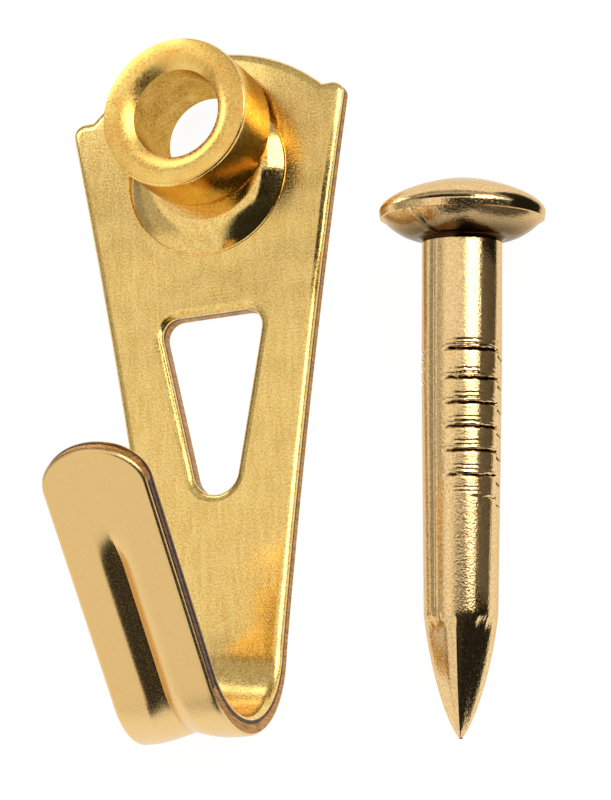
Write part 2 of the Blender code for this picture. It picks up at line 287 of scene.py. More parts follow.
def window_outline(grow):
    """The tapered window with its rounded corners, enlarged all round by grow."""
    corner_steps, end_steps = 14, 18
    bottom = WINDOW_TOP - WINDOW_LENGTH
    top_half = side_half(WINDOW_TOP) - LEG_TOP
    bottom_half = side_half(bottom) - LEG_BOTTOM
    lean = math.atan2(top_half - bottom_half, WINDOW_LENGTH)
    side = -math.degrees(lean)
    corner_half = top_half - math.tan(lean) * WINDOW_CORNER
    corner_x = corner_half - WINDOW_CORNER / math.cos(lean)
    end_radius = bottom_half / math.cos(lean)
    right = arc(corner_x, WINDOW_TOP - WINDOW_CORNER, WINDOW_CORNER + grow, 90, side, corner_steps)
    right += arc(0.0, bottom + end_radius, end_radius + grow, side, -90, end_steps)
    return right + [(-x, y) for x, y in reversed(right[:-1])]


def window_punch():
    """The window's punch; its flare rolls the front edge over."""
    roll_steps = 8
    levels = [(-SHEET, 0.0, TORN), (TORN_TOP, 0.0, BURNISHED_SHADED)]
    for i in range(roll_steps + 1):
        a = PUNCH_ROLL * i / roll_steps
        levels.append((SHEET - ROLLOVER * (1 - math.sin(a)), ROLL_WIDTH * (1 - math.cos(a)), FACE))
    levels.append((SHEET + ROLLOVER, PUNCH_FLARE, FACE))
    bm = bmesh.new()
    rings = [[(x, y, height) for x, y in window_outline(grow)] for height, grow, finish in levels]
    skin(bm, rings, finishes=[finish for height, grow, finish in levels])
    return loose_object("window_punch", bm)


def boss_form(foot):
    """The boss: a low dome with a flat top, and at its foot, if any, the ring that the die leaves."""
    flank_steps = 14
    run = BOSS_RADIUS - BOSS_FLAT_RADIUS
    spread = run / (2 * BOSS_RISE)
    profile = [(BOSS_RADIUS + spread * BOSS_ROOT, SHEET - BOSS_ROOT)]
    if foot:
        profile.append((BOSS_RADIUS + FOOT_RING_OUTSIDE, SHEET - FOOT_RING_OUTSIDE / spread))
        profile += [(BOSS_RADIUS + outside, SHEET + foot) for outside in FOOT_RING_CREST]
    for i in range(flank_steps + 1):
        share = i / flank_steps
        profile.append((BOSS_RADIUS - run * i / flank_steps, SHEET + BOSS_RISE * (1 - (1 - share) ** 2)))
    bm = bmesh.new()
    finish = PRESSED if foot else BACK
    skin(bm, turned_rings(profile, ROUND_STEPS), finishes=[finish] * len(profile))
    return bm


def bush_hole():
    """The hole under the bush, opened at the back for its riveted tail."""
    flare = TAIL_RADIUS + SEAT_GAP
    flare_top = TAIL_RECESS + TAIL_RADIUS - HOLE_RADIUS + SEAT_GAP
    profile = [(flare, -SHEET), (flare, TAIL_RECESS + SEAT_GAP), (HOLE_RADIUS, flare_top + SEAT_GAP),
               (HOLE_RADIUS, 3 * SHEET)]
    bm = bmesh.new()
    skin(bm, turned_rings(profile, HOLE_STEPS))
    return bm


def plate_blank():
    """Blanks the sheet, slices the strip fine enough to bend smoothly, and bends it.

    The sides of the lip take the dark burnished colour all the way down, with no torn band: painted shade.
    """
    outline = blank_outline()
    levels = edge_profile()
    rings = [[(p.x, p.y, height) for p in inset_ring(outline, inset)] for height, inset, finish in levels]
    bm = bmesh.new()
    caps = skin(bm, rings, finishes=[finish for height, inset, finish in levels])
    caps[0].material_index = BACK
    strip_top = BEND_Y + BEAD_PLATE_RUN
    bead_end = LIP_Y - BEAD_LIP_RUN
    for i in range(STRIP_ROWS + 1):
        row_y = strip_top + (bead_end - strip_top) * i / STRIP_ROWS
        slice_across(bm, Vector((0, 1, 0)), row_y, bm.faces[:])
    for i in range(-STRIP_COLUMNS, STRIP_COLUMNS + 1):
        strip = [f for f in bm.faces if max(v.co.y for v in f.verts) < strip_top + SLICE_MARGIN
                 and min(v.co.y for v in f.verts) > bead_end - SLICE_MARGIN]
        slice_across(bm, Vector((1, 0, 0)), COLUMN_WIDTH * i, strip)
    # Painted shade: the lip's side faces take the near-black burnished colour in place of the torn one.
    for face in bm.faces:
        on_lip = LIP_Y - LIP_LENGTH + TIP_ROUND < face.calc_center_median().y < LIP_Y
        if face.material_index == TORN and on_lip:
            face.material_index = BURNISHED_SHADED
    for vert in bm.verts:
        vert.co = bent(vert.co)
    return loose_object("plate_blank", bm)


def linear(hex_colour):
    """An sRGB hex colour as linear red, green, blue and alpha."""
    channels = [int(hex_colour[i:i + 2], 16) / 255 for i in (1, 3, 5)]
    return [c / 12.92 if c <= 0.04045 else ((c + 0.055) / 1.055) ** 2.4 for c in channels] + [1.0]


def add_node(tree, kind, inputs=None, **settings):
    """Adds a node with its settings; an input is a value or another node's output socket."""
    made = tree.nodes.new(kind)
    for name, value in settings.items():
        setattr(made, name, value)
    for name, value in (inputs or {}).items():
        if isinstance(value, bpy.types.NodeSocket):
            tree.links.new(value, made.inputs[name])
        else:
            made.inputs[name].default_value = value
    return made


def new_metal(name):
    """A fully metallic Principled material, with its tree, shader and object coordinates."""
    material = bpy.data.materials.new(name)
    material.use_nodes = True
    tree = material.node_tree
    shader = tree.nodes["Principled BSDF"]
    shader.inputs["Metallic"].default_value = 1.0
    place = add_node(tree, "ShaderNodeTexCoord").outputs["Object"]
    return material, tree, shader, place


def per_mm(size):
    """Texture scale that gives features of this size in millimetres."""
    return 1 / (size * MM)


def toned(tree, shader, amount, dark, light, contrast):
    """Colours the metal from dark to light by an amount that varies about one half."""
    tone = add_node(tree, "ShaderNodeValToRGB", {"Fac": amount})
    dark_end, light_end = tone.color_ramp.elements
    dark_end.color = linear(dark)
    dark_end.position = 0.5 - contrast
    light_end.color = linear(light)
    light_end.position = 0.5 + contrast
    tree.links.new(tone.outputs["Color"], shader.inputs["Base Color"])
    return tone.outputs["Color"]


# A noise texture mostly stays between these two values.
NOISE_LOW = 0.3
NOISE_HIGH = 0.7

STREAK = 0.22
STREAK_SQUEEZE = 0.15
STREAK_SHARE = 0.25
SWELL = 4.5
PLATING_CONTRAST = 0.16
SATIN_SPREAD = 0.25
SCORE = 0.11
SCORE_SQUEEZE = 0.15
SCORE_CONTRAST = 0.15


def brass_plated_sheet(name, dark, light, grain, relief, wave, roughness):
    """Brass plating over rolled steel: satin gold with a fine grain, faint streaks and soft waves.

    The grain of the real plating is about 0.05 mm; it is drawn twice as coarse so that it shows.
    """
    material, tree, shader, place = new_metal(name)
    rolled = add_node(tree, "ShaderNodeMapping", {"Vector": place, "Scale": (1.0, STREAK_SQUEEZE, 1.0)})
    streaks = add_node(tree, "ShaderNodeTexNoise", {
        "Vector": rolled.outputs["Vector"], "Scale": per_mm(STREAK), "Detail": 3.0})
    peel = add_node(tree, "ShaderNodeTexNoise", {"Vector": place, "Scale": per_mm(grain), "Detail": 2.0})
    texture = add_node(tree, "ShaderNodeMix", {
        "Factor": STREAK_SHARE, "A": peel.outputs["Fac"], "B": streaks.outputs["Fac"]})
    toned(tree, shader, texture.outputs["Result"], dark, light, PLATING_CONTRAST)
    satin = add_node(tree, "ShaderNodeMapRange", {
        "Value": peel.outputs["Fac"], "From Min": NOISE_LOW, "From Max": NOISE_HIGH,
        "To Min": (1 - SATIN_SPREAD) * roughness, "To Max": (1 + SATIN_SPREAD) * roughness})
    tree.links.new(satin.outputs["Result"], shader.inputs["Roughness"])
    swell = add_node(tree, "ShaderNodeTexNoise", {"Vector": place, "Scale": per_mm(SWELL), "Detail": 2.0})
    broad = add_node(tree, "ShaderNodeBump", {"Height": swell.outputs["Fac"], "Distance": wave * MM})
    fine = add_node(tree, "ShaderNodeBump", {
        "Height": texture.outputs["Result"], "Distance": relief * MM, "Normal": broad.outputs["Normal"]})
    tree.links.new(fine.outputs["Normal"], shader.inputs["Normal"])
    return material


def tool_bitten_steel(name, dark, light, roughness, relief):
    """Steel that a tool rubbed, tore or bit: brown in the given colours, with fine scores along the piece's
    Z. The near-black colours given for the burnished band and the nicks are painted shade.
    """
    material, tree, shader, place = new_metal(name)
    tall = add_node(tree, "ShaderNodeMapping", {"Vector": place, "Scale": (1.0, 1.0, SCORE_SQUEEZE)})
    scores = add_node(tree, "ShaderNodeTexNoise", {
        "Vector": tall.outputs["Vector"], "Scale": per_mm(SCORE), "Detail": 3.0})
    toned(tree, shader, scores.outputs["Fac"], dark, light, SCORE_CONTRAST)
    shader.inputs["Roughness"].default_value = roughness
    rough = add_node(tree, "ShaderNodeBump", {"Height": scores.outputs["Fac"], "Distance": relief * MM})
    tree.links.new(rough.outputs["Normal"], shader.inputs["Normal"])
    return material


# The front is satin and wavy. The back, which is also the lip's outside, is paler and flatter. The
# die polished the boss's flank, so it mirrors the dark cards sharply.
plate = finished_piece(
    "pressed_hook_plate",
    plate_blank(),
    [("UNION", loose_object("boss", boss_form(FOOT_RING), (0, BOSS_Y, 0))),
     ("DIFFERENCE", loose_object("boss_hollow", boss_form(0), (0, BOSS_Y, -SHEET))),
     ("DIFFERENCE", loose_object("bush_hole", bush_hole(), (0, BUSH_Y, 0))),
     ("DIFFERENCE", window_punch())],
    [brass_plated_sheet("brass_plated_pressed_sheet", "#D8AA52", "#FFE398",
                        grain=0.1, relief=0.006, wave=0.16, roughness=0.22),
     # Near-black burnished band: painted shade and dark reflection on the shiny edge.
     tool_bitten_steel("burnished_punched_edge_painted_shade", "#3A2210", "#6A4420", roughness=0.3, relief=0.004),
     tool_bitten_steel("torn_punched_edge", "#9E7038", "#D09C58", roughness=0.45, relief=0.02),
     brass_plated_sheet("brass_plated_rolled_sheet", "#EAC484", "#F2CE8C",
                        grain=0.09, relief=0.003, wave=0.03, roughness=0.27),
     brass_plated_sheet("brass_plated_die_pressed_sheet", "#D8AA52", "#FFE398",
                        grain=0.1, relief=0.003, wave=0.06, roughness=0.11)],
    crease=13)
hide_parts("hook_plate")
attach(plate, "hanger")

# The guide bush is turned from brass bar. Its dished mouth leads the nail in, its bore holds the nail
# square to the wall, and its thin tail goes through the plate and is riveted over behind it.

BORE_RADIUS = 2.2
BUSH_RADIUS = 3.72
RIM_Z = 4.95
SEAT_Z = SHEET + BOSS_RISE + SEAT_GAP
SPIGOT_RADIUS = HOLE_RADIUS - SEAT_GAP
MOUTH_FLARE = 0.85
MOUTH_DEPTH = 0.38
RIM_FALL = 0.05
RIM_BEVEL = 0.12
RIM_BEVEL_DROP = 0.25
BEVEL_STEP = 0.012
BEVEL_STEP_DROP = 0.04
BASE_CHAMFER = 0.12
CHAMFER_KNEE_IN = 0.048
CHAMFER_KNEE_UP = 0.03
TAIL_CHAMFER = 0.16

BUSH_SPECK = 0.12
BUSH_BLOTCH = 1.2
BLOTCH_SHARE = 0.4
BRASS_CONTRAST = 0.14
BRASS_SATIN_SPREAD = 0.3
BUSH_PIT_DEPTH = 0.008

TURNED, DISHED, BORED_SHADED = range(3)


def bush_profile():
    """(radius, height, finish) round the wall: mouth, rim, bevel, body, seat, tail and bore."""
    mouth_steps, rim_steps, bevel_steps = 16, 6, 6
    crest = BORE_RADIUS + MOUTH_FLARE
    bevel = BUSH_RADIUS - RIM_BEVEL
    bevel_z = RIM_Z - RIM_FALL - BEVEL_STEP_DROP
    profile = []
    for i in range(mouth_steps + 1):
        share = i / mouth_steps
        profile.append((BORE_RADIUS + MOUTH_FLARE * share, RIM_Z - MOUTH_DEPTH * (1 - share) ** 2, DISHED))
    for i in range(1, rim_steps + 1):
        share = i / rim_steps
        profile.append((crest + (bevel - crest) * share, RIM_Z - RIM_FALL * share**2, DISHED))
    for i in range(bevel_steps + 1):
        a = math.pi / 2 * i / bevel_steps
        profile.append((bevel + BEVEL_STEP + (RIM_BEVEL - BEVEL_STEP) * math.sin(a),
                        bevel_z - (RIM_BEVEL_DROP - BEVEL_STEP_DROP) * (1 - math.cos(a)), TURNED))
    profile += [(BUSH_RADIUS, SEAT_Z + BASE_CHAMFER, TURNED),
                (BUSH_RADIUS - CHAMFER_KNEE_IN, SEAT_Z + CHAMFER_KNEE_UP, TURNED),
                (BUSH_RADIUS - BASE_CHAMFER, SEAT_Z, TURNED),
                (SPIGOT_RADIUS, SEAT_Z, TURNED),
                (SPIGOT_RADIUS, TAIL_RECESS + TAIL_RADIUS - SPIGOT_RADIUS, TURNED),
                (TAIL_RADIUS, TAIL_RECESS, TURNED),
                (BORE_RADIUS + TAIL_CHAMFER, TAIL_RECESS, TURNED),
                (BORE_RADIUS, TAIL_RECESS + TAIL_CHAMFER, BORED_SHADED),
                (BORE_RADIUS, SEAT_Z, BORED_SHADED)]
    return profile


def turned_brass(name, dark, light, glance, roughness, ring_size, ring_depth):
    """Brass off the lathe: a coppery satin gold with dull specks, and fine rings left by the tool.

    It keeps some of its colour where it is seen at a glancing angle, which the glance colour gives.
    The tool's real feed is about 0.05 mm; its rings are drawn coarser so that they show.
    """
    material, tree, shader, place = new_metal(name)
    parts = add_node(tree, "ShaderNodeSeparateXYZ", {"Vector": place})
    flat = add_node(tree, "ShaderNodeCombineXYZ", {"X": parts.outputs["X"], "Y": parts.outputs["Y"]})
    radius = add_node(tree, "ShaderNodeVectorMath", {0: flat.outputs["Vector"]}, operation="LENGTH")
    across = add_node(tree, "ShaderNodeCombineXYZ", {"X": radius.outputs["Value"], "Y": parts.outputs["Z"]})
    rings = add_node(tree, "ShaderNodeTexNoise", {
        "Vector": across.outputs["Vector"], "Scale": per_mm(ring_size), "Detail": 2.0})
    specks = add_node(tree, "ShaderNodeTexNoise", {
        "Vector": place, "Scale": per_mm(BUSH_SPECK), "Detail": 3.0})
    blotch = add_node(tree, "ShaderNodeTexNoise", {
        "Vector": place, "Scale": per_mm(BUSH_BLOTCH), "Detail": 3.0})
    mixed = add_node(tree, "ShaderNodeMix", {
        "Factor": BLOTCH_SHARE, "A": specks.outputs["Fac"], "B": blotch.outputs["Fac"]})
    toned(tree, shader, mixed.outputs["Result"], dark, light, BRASS_CONTRAST)
    shader.inputs["Specular Tint"].default_value = linear(glance)
    satin = add_node(tree, "ShaderNodeMapRange", {
        "Value": specks.outputs["Fac"], "From Min": NOISE_LOW, "From Max": NOISE_HIGH,
        "To Min": (1 - BRASS_SATIN_SPREAD) * roughness, "To Max": (1 + BRASS_SATIN_SPREAD) * roughness})
    tree.links.new(satin.outputs["Result"], shader.inputs["Roughness"])
    scored = add_node(tree, "ShaderNodeBump", {"Height": rings.outputs["Fac"], "Distance": ring_depth * MM})
    pitted = add_node(tree, "ShaderNodeBump", {
        "Height": specks.outputs["Fac"], "Distance": BUSH_PIT_DEPTH * MM, "Normal": scored.outputs["Normal"]})
    tree.links.new(pitted.outputs["Normal"], shader.inputs["Normal"])
    return material


bush_form = bmesh.new()
bush_steps = bush_profile()
skin(bush_form, turned_rings([(r, z) for r, z, finish in bush_steps], ROUND_STEPS), wrap=True,
     finishes=[finish for r, z, finish in bush_steps])
bush = finished_piece(
    "turned_guide_bush",
    loose_object("bush_form", bush_form),
    [],
    [turned_brass("turned_brass", "#EEB660", "#FFE492", "#ECD4A8",
                  roughness=0.18, ring_size=0.14, ring_depth=0.005),
     turned_brass("dished_brass", "#F0B256", "#FFE084", "#FFFFFF",
                  roughness=0.33, ring_size=0.14, ring_depth=0.006),
     # The bore's colours are darker than the outside's: painted shade inside the bore.
     turned_brass("bored_brass_painted_shade", "#A0722C", "#E0B868", "#F0D8AC",
                  roughness=0.26, ring_size=0.3, ring_depth=0.03)],
    crease=20)
bush.location.y = BUSH_Y * MM
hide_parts("guide_bush")
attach(bush, "hanger")

# The nail is cold headed from drawn wire, pinched to a four-faced point and bright plated. The dies
# that gripped it for heading left nicks across half the shank, and a seam along it and under the head.

SHANK_RADIUS = 1.825
SHANK_TAPER = 0.15
TAPER_START = 1 / 3
NAIL_LENGTH = 25.4
HEAD_RADIUS = 3.8
DOME_HEIGHT = 1.6
DOME_POINT = 1.3
DOME_FULLNESS = 0.54
RIM_DROP = 0.3
RIM_INSET = 0.05
RIM_STEP = 0.1
RIM_STEP_DROP = 0.02
UNDERSIDE_DEPTH = 1.18
UNDERSIDE_CURVE = 1.9
NECK_FILLET = 0.25
NECK_END = UNDERSIDE_DEPTH + NECK_FILLET
POINT_LENGTH = 5.6
POINT_TIP_RADIUS = 0.1
POINT_CURVE = 1.4
POINT_BLUNTNESS = 0.72
POINT_SQUARENESS = 2.2
POINT_TURN = math.radians(52)
POINT_FORMS_IN = 1 / 6
POINT_RAGGED = 0.03
POINT_FINE_RAGGED = 0.008
TIP_AT = NAIL_LENGTH - DOME_HEIGHT
POINT_AT = TIP_AT - POINT_LENGTH
PINCH_TURN = math.radians(-97)
PINCH_START = 0.05
PINCH_EDGE = 0.7
PINCH_REACH = 0.95

NICKS_AT = (6.46, 7.78, 8.88, 9.95, 11.02, 12.12, 13.1)
NICK_DEPTHS = (0.16, 0.14, 0.13, 0.12, 0.11, 0.09, 0.05)
NICK_MARGIN = 0.6
NICKED_FROM = NICKS_AT[0] - NICK_MARGIN
NICKED_TO = NICKS_AT[-1] + NICK_MARGIN
NICK_WIDTH = 0.06
NICK_DARK = 0.045
NICK_RAGGED = 0.05
NICK_UNEVEN = 0.6
NICK_FROM = math.radians(-101)
NICK_BREAK = math.radians(-10)
NICK_TO = math.radians(30)
NICK_FADE_IN = 8
NICK_FADE_OUT = 6
LAST_NICK_START = 0.45
LAST_NICK_FADE_IN = 4
BREAK_DROP = 0.25
BREAK_SLANT = 0.4
BURR_SHARE = 0.35
BROKEN_BURR_SHARE = 0.1
BURR_RISE = 0.13
BURR_WIDTH = 0.07
LINES_ABOVE = (0.24, 0.42)
LINE_WIDTH = 0.03
LINE_SHARE = 0.12
SIDE_NICKS_AT = (6.5, 6.85, 7.3, 7.9)
SIDE_NICK_TURN = math.radians(-160)
SIDE_NICK_SPREAD = math.radians(22)
SIDE_NICK_DEPTH = 0.09
SIDE_NICK_WIDTH = 0.05
SEAM_TURN = math.radians(-113)
SEAM_RISE = 0.03
SEAM_WIDTH = 0.045
FOLD_TURN = math.radians(-101)
FOLD_SPREAD = math.radians(-10)
FOLD_RISE = 0.09
FOLD_SHARP_WIDTH = 0.04
FOLD_SOFT_WIDTH = 0.12

WIRE_LINE = 0.3
WIRE_LINE_SQUEEZE = 0.05
WIRE_LINE_DEPTH = 0.008
WIRE_SPECK = 0.1
WIRE_PIT_DEPTH = 0.009
WIRE_CONTRAST = 0.18
WIRE_ROUGHNESS = (0.1, 0.2)

NAIL_X = SHOULDER_HALF + 2.77 + HEAD_RADIUS
NAIL_Y = BUSH_Y - 6.89
NAIL_YAW = math.radians(-5.3)
TABLE_GAP = 0.01
NAIL_STEPS = 240

PLATED, HEADED, BITTEN_AND_SHADED = range(3)


def nail_stations():
    """(distance from the head's widest part towards the tip, radius, share of the point) down the nail."""
    dome_steps, rim_steps, bowl_steps, fillet_steps = 40, 4, 24, 5
    plain_steps, nicked_steps, point_steps = 30, 250, 90
    point_crowding = 1.6
    stations = []
    for i in range(1, dome_steps + 1):
        share = math.sin(math.pi / 2 * i / dome_steps)
        stations.append((-DOME_HEIGHT * (1 - share**DOME_POINT) ** DOME_FULLNESS, HEAD_RADIUS * share, 0.0))
    for i in range(1, rim_steps + 1):
        stations.append((RIM_DROP * i / rim_steps, HEAD_RADIUS - RIM_INSET * i / rim_steps, 0.0))
    neck_radius = SHANK_RADIUS + NECK_FILLET
    bowl = HEAD_RADIUS - RIM_INSET - RIM_STEP - neck_radius
    bowl_top = RIM_DROP + RIM_STEP_DROP
    for i in range(bowl_steps + 1):
        share = i / bowl_steps
        sunk = 1 - (1 - share) ** UNDERSIDE_CURVE
        stations.append((bowl_top + (UNDERSIDE_DEPTH - bowl_top) * sunk,
                         neck_radius + bowl * (1 - share), 0.0))
    for i in range(1, fillet_steps + 1):
        a = math.pi / 2 * i / fillet_steps
        stations.append((UNDERSIDE_DEPTH + NECK_FILLET * (1 - math.cos(a)),
                         neck_radius - NECK_FILLET * math.sin(a), 0.0))
    spans = [(NECK_END, NICKED_FROM, plain_steps), (NICKED_FROM, NICKED_TO, nicked_steps),
             (NICKED_TO, POINT_AT, plain_steps)]
    for start, end, steps in spans:
        for i in range(1, steps + 1):
            along = start + (end - start) * i / steps
            down = (along - NECK_END) / (POINT_AT - NECK_END)
            thinned = max(down - TAPER_START, 0.0) / (1 - TAPER_START)
            stations.append((along, SHANK_RADIUS - SHANK_TAPER * thinned, 0.0))
    for i in range(1, point_steps + 1):
        share = 1 - (1 - i / point_steps) ** point_crowding
        ogive = (SHANK_RADIUS - SHANK_TAPER) * (1 - share**POINT_CURVE) ** POINT_BLUNTNESS
        stations.append((POINT_AT + POINT_LENGTH * share, max(ogive, POINT_TIP_RADIUS), share))
    return stations


def bell(offset, width):
    """A soft bump: 1 in its middle, and fading over its width."""
    return math.exp(-(offset / width) ** 2)


def nick_depth(along, turn):
    """Depth of the grip marks at a place on the shank, with a raised burr and fine lines above each."""
    depth = 0.0
    if NICK_FROM < turn < NICK_TO:
        across = (turn - NICK_FROM) / (NICK_BREAK - NICK_FROM)
        beyond = max(turn - NICK_BREAK, 0.0)
        fade = min(NICK_FADE_IN * across, 1.0, NICK_FADE_OUT * (NICK_TO - turn))
        drop = BREAK_DROP + BREAK_SLANT * beyond if beyond else 0.0
        burr = BROKEN_BURR_SHARE if beyond else BURR_SHARE
        for k, at in enumerate(NICKS_AT):
            ragged = NICK_RAGGED * noise.noise(Vector((turn * 5, k * 7.3, 0)))
            off = along - at - ragged - drop
            uneven = 1 + NICK_UNEVEN * noise.noise(Vector((turn * 7, k * 3.1, 5)))
            heavy = (0.5 + 0.5 * min(across, 1.0)) * uneven
            if k == len(NICKS_AT) - 1:
                heavy *= min(max(LAST_NICK_FADE_IN * (across - LAST_NICK_START), 0.0), 1.0)
            cut = bell(off, NICK_WIDTH) - burr * bell(off + BURR_RISE, BURR_WIDTH)
            lines = sum(bell(off + above, LINE_WIDTH) for above in LINES_ABOVE)
            depth += NICK_DEPTHS[k] * fade * (heavy * cut + LINE_SHARE * lines)
    for at in SIDE_NICKS_AT:
        side = (turn - SIDE_NICK_TURN) / SIDE_NICK_SPREAD
        depth += SIDE_NICK_DEPTH * bell(along - at, SIDE_NICK_WIDTH) * max(1 - side * side, 0.0)
    return depth


def point_reach(radius, share, turn):
    """The pinched point's reach: four soft faces, a ragged start and a narrow pinched flat between two."""
    start = share + POINT_RAGGED * noise.noise(Vector((turn * 3, 0, 3)))
    start += POINT_FINE_RAGGED * noise.noise(Vector((turn * 11, 0, 8)))
    exponent = 2.0 + POINT_SQUARENESS * eased(start / POINT_FORMS_IN)
    c = abs(math.cos(turn - POINT_TURN))
    s = abs(math.sin(turn - POINT_TURN))
    reach = radius / 2 ** (0.5 - 1 / exponent) / (c**exponent + s**exponent) ** (1 / exponent)
    pinch = math.cos(turn - PINCH_TURN)
    if start > PINCH_START and pinch > PINCH_EDGE:
        reach = min(reach, PINCH_REACH * radius / pinch)
    return reach


def nail_rings(steps):
    """The nail's skin, with its nicks, its seam, the fold under its head and its point."""
    rings = []
    for along, radius, share in nail_stations():
        ring = []
        for i in range(steps):
            turn = 2 * math.pi * i / steps - math.pi
            reach = point_reach(radius, share, turn) if share else radius
            if NICKED_FROM < along < NICKED_TO:
                reach -= nick_depth(along, turn)
            level = along
            if UNDERSIDE_DEPTH < along < POINT_AT:
                reach += SEAM_RISE * bell(turn - SEAM_TURN, SEAM_WIDTH)
            elif RIM_DROP < along <= UNDERSIDE_DEPTH:
                out = (radius - SHANK_RADIUS) / (HEAD_RADIUS - SHANK_RADIUS)
                side = turn - FOLD_TURN - FOLD_SPREAD * out
                level += FOLD_RISE * bell(side, FOLD_SHARP_WIDTH if side > 0 else FOLD_SOFT_WIDTH)
            ring.append((reach * math.cos(turn), reach * math.sin(turn), -level))
        rings.append(ring)
    return rings


def bright_plated_wire(name, neck_shade):
    """Drawn wire under bright brass plate: shiny and pale, with faint drawn lines and fine dull specks.

    Under the head the colour darkens to brown towards the neck, which is painted shade in that corner, given
    by the neck shade colour. The real specks are about 0.05 mm; they are drawn at 0.1 mm so that they show.
    """
    material, tree, shader, place = new_metal(name)
    drawn = add_node(tree, "ShaderNodeMapping", {"Vector": place, "Scale": (1.0, 1.0, WIRE_LINE_SQUEEZE)})
    lines = add_node(tree, "ShaderNodeTexNoise", {
        "Vector": drawn.outputs["Vector"], "Scale": per_mm(WIRE_LINE), "Detail": 2.0})
    specks = add_node(tree, "ShaderNodeTexNoise", {
        "Vector": place, "Scale": per_mm(WIRE_SPECK), "Detail": 3.0})
    plate_colour = toned(tree, shader, specks.outputs["Fac"], "#DCB478", "#FCDEA8", WIRE_CONTRAST)
    shader.inputs["Specular Tint"].default_value = linear("#ECE0CC")
    # Painted shade: the colour darkens to dark brown towards the neck, in the corner under the head.
    if neck_shade:
        axis = add_node(tree, "ShaderNodeSeparateXYZ", {"Vector": place})
        neck_shade_share = add_node(tree, "ShaderNodeMapRange", {
            "Value": axis.outputs["Z"], "From Min": -RIM_DROP * MM, "From Max": -UNDERSIDE_DEPTH * MM})
        # A Mix node's two colours and its result share their names with its number sockets.
        factor, first_colour, second_colour, mixed_colour = 0, 6, 7, 2
        neck_shade_blend = add_node(tree, "ShaderNodeMix", {
            factor: neck_shade_share.outputs["Result"], first_colour: plate_colour, second_colour: linear(neck_shade)},
            data_type="RGBA")
        tree.links.new(neck_shade_blend.outputs[mixed_colour], shader.inputs["Base Color"])
    satin = add_node(tree, "ShaderNodeMapRange", {
        "Value": specks.outputs["Fac"], "From Min": NOISE_LOW, "From Max": NOISE_HIGH,
        "To Min": WIRE_ROUGHNESS[0], "To Max": WIRE_ROUGHNESS[1]})
    tree.links.new(satin.outputs["Result"], shader.inputs["Roughness"])
    scored = add_node(tree, "ShaderNodeBump", {
        "Height": lines.outputs["Fac"], "Distance": WIRE_LINE_DEPTH * MM})
    pitted = add_node(tree, "ShaderNodeBump", {
        "Height": specks.outputs["Fac"], "Distance": WIRE_PIT_DEPTH * MM, "Normal": scored.outputs["Normal"]})
    tree.links.new(pitted.outputs["Normal"], shader.inputs["Normal"])
    return material


nail_sizes = [(along, radius) for along, radius, share in nail_stations()]
nail_form = bmesh.new()
skin(nail_form, nail_rings(NAIL_STEPS), finishes=[
    HEADED if RIM_DROP <= along < NECK_END else PLATED for along, radius in nail_sizes])
# The deeper parts of the nicks take the near-black colour: bare bitten steel, and painted shade in the
# grooves.
for face in nail_form.faces:
    middle = face.calc_center_median()
    if NICKED_FROM < -middle.z < NICKED_TO:
        if nick_depth(-middle.z, math.atan2(middle.y, middle.x)) > NICK_DARK:
            face.material_index = BITTEN_AND_SHADED
nail = finished_piece(
    "headed_nail",
    loose_object("nail_form", nail_form),
    [],
    [bright_plated_wire("bright_brass_plated_wire", None),
     # The head's underside carries painted shade, dark brown towards the neck.
     bright_plated_wire("brass_plated_headed_wire_painted_neck_shade", "#3C2412"),
     # Near-black nick colours: bare steel in part, and painted shade in part.
     tool_bitten_steel("die_bitten_wire_painted_shade", "#1E120A", "#4A2E18", roughness=0.4, relief=0.004)],
    crease=24)
nail_tilt = min(math.atan2(HEAD_RADIUS - radius, along) for along, radius in nail_sizes if along > RIM_DROP)
nail_height = max(radius * math.cos(nail_tilt) + along * math.sin(nail_tilt) for along, radius in nail_sizes)
nail.location = (NAIL_X * MM, NAIL_Y * MM, (nail_height + TABLE_GAP) * MM)
nail.rotation_euler = (nail_tilt - math.pi / 2, 0.0, NAIL_YAW)
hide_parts("nail")
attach(nail, "loose_nail")

# The table is a white card that runs past the picture. Its own glow for what the camera and the metal
# see keeps it white, and the light that falls on it still draws the shadows.

TABLE_HALF = 1500.0
TABLE_DROP = 0.02
TABLE_GLOW = 0.95

table_form = bmesh.new()
bmesh.ops.create_grid(table_form, x_segments=1, y_segments=1, size=TABLE_HALF * MM)
table = loose_object("white_card", table_form, (0, 0, -TABLE_DROP * MM))
white_card = bpy.data.materials.new("matt_white_card")
white_card.use_nodes = True
card_tree = white_card.node_tree
card_tree.nodes.clear()
rays = add_node(card_tree, "ShaderNodeLightPath")
seen = add_node(card_tree, "ShaderNodeMath", {
    0: rays.outputs["Is Camera Ray"], 1: rays.outputs["Is Glossy Ray"]}, operation="MAXIMUM")
shown = add_node(card_tree, "ShaderNodeMath", {
    0: seen.outputs["Value"], 1: rays.outputs["Is Transmission Ray"]}, operation="MAXIMUM")
glow_level = add_node(card_tree, "ShaderNodeMath", {
    0: shown.outputs["Value"], 1: TABLE_GLOW}, operation="MULTIPLY")
glow = add_node(card_tree, "ShaderNodeEmission", {"Strength": glow_level.outputs["Value"]})
matte = add_node(card_tree, "ShaderNodeBsdfDiffuse", {"Color": linear("#5A5A5A")})
both = add_node(card_tree, "ShaderNodeAddShader", {0: glow.outputs["Emission"], 1: matte.outputs["BSDF"]})
add_node(card_tree, "ShaderNodeOutputMaterial", {"Surface": both.outputs["Shader"]})
table.data.materials.append(white_card)

# Paper cards and two lit panels stand round the object, out of the picture, and only the metal mirrors
# them. The grey and black cards give the nail and the boss their dark reflections, and the panels
# behind the plate give the brass bright ones.

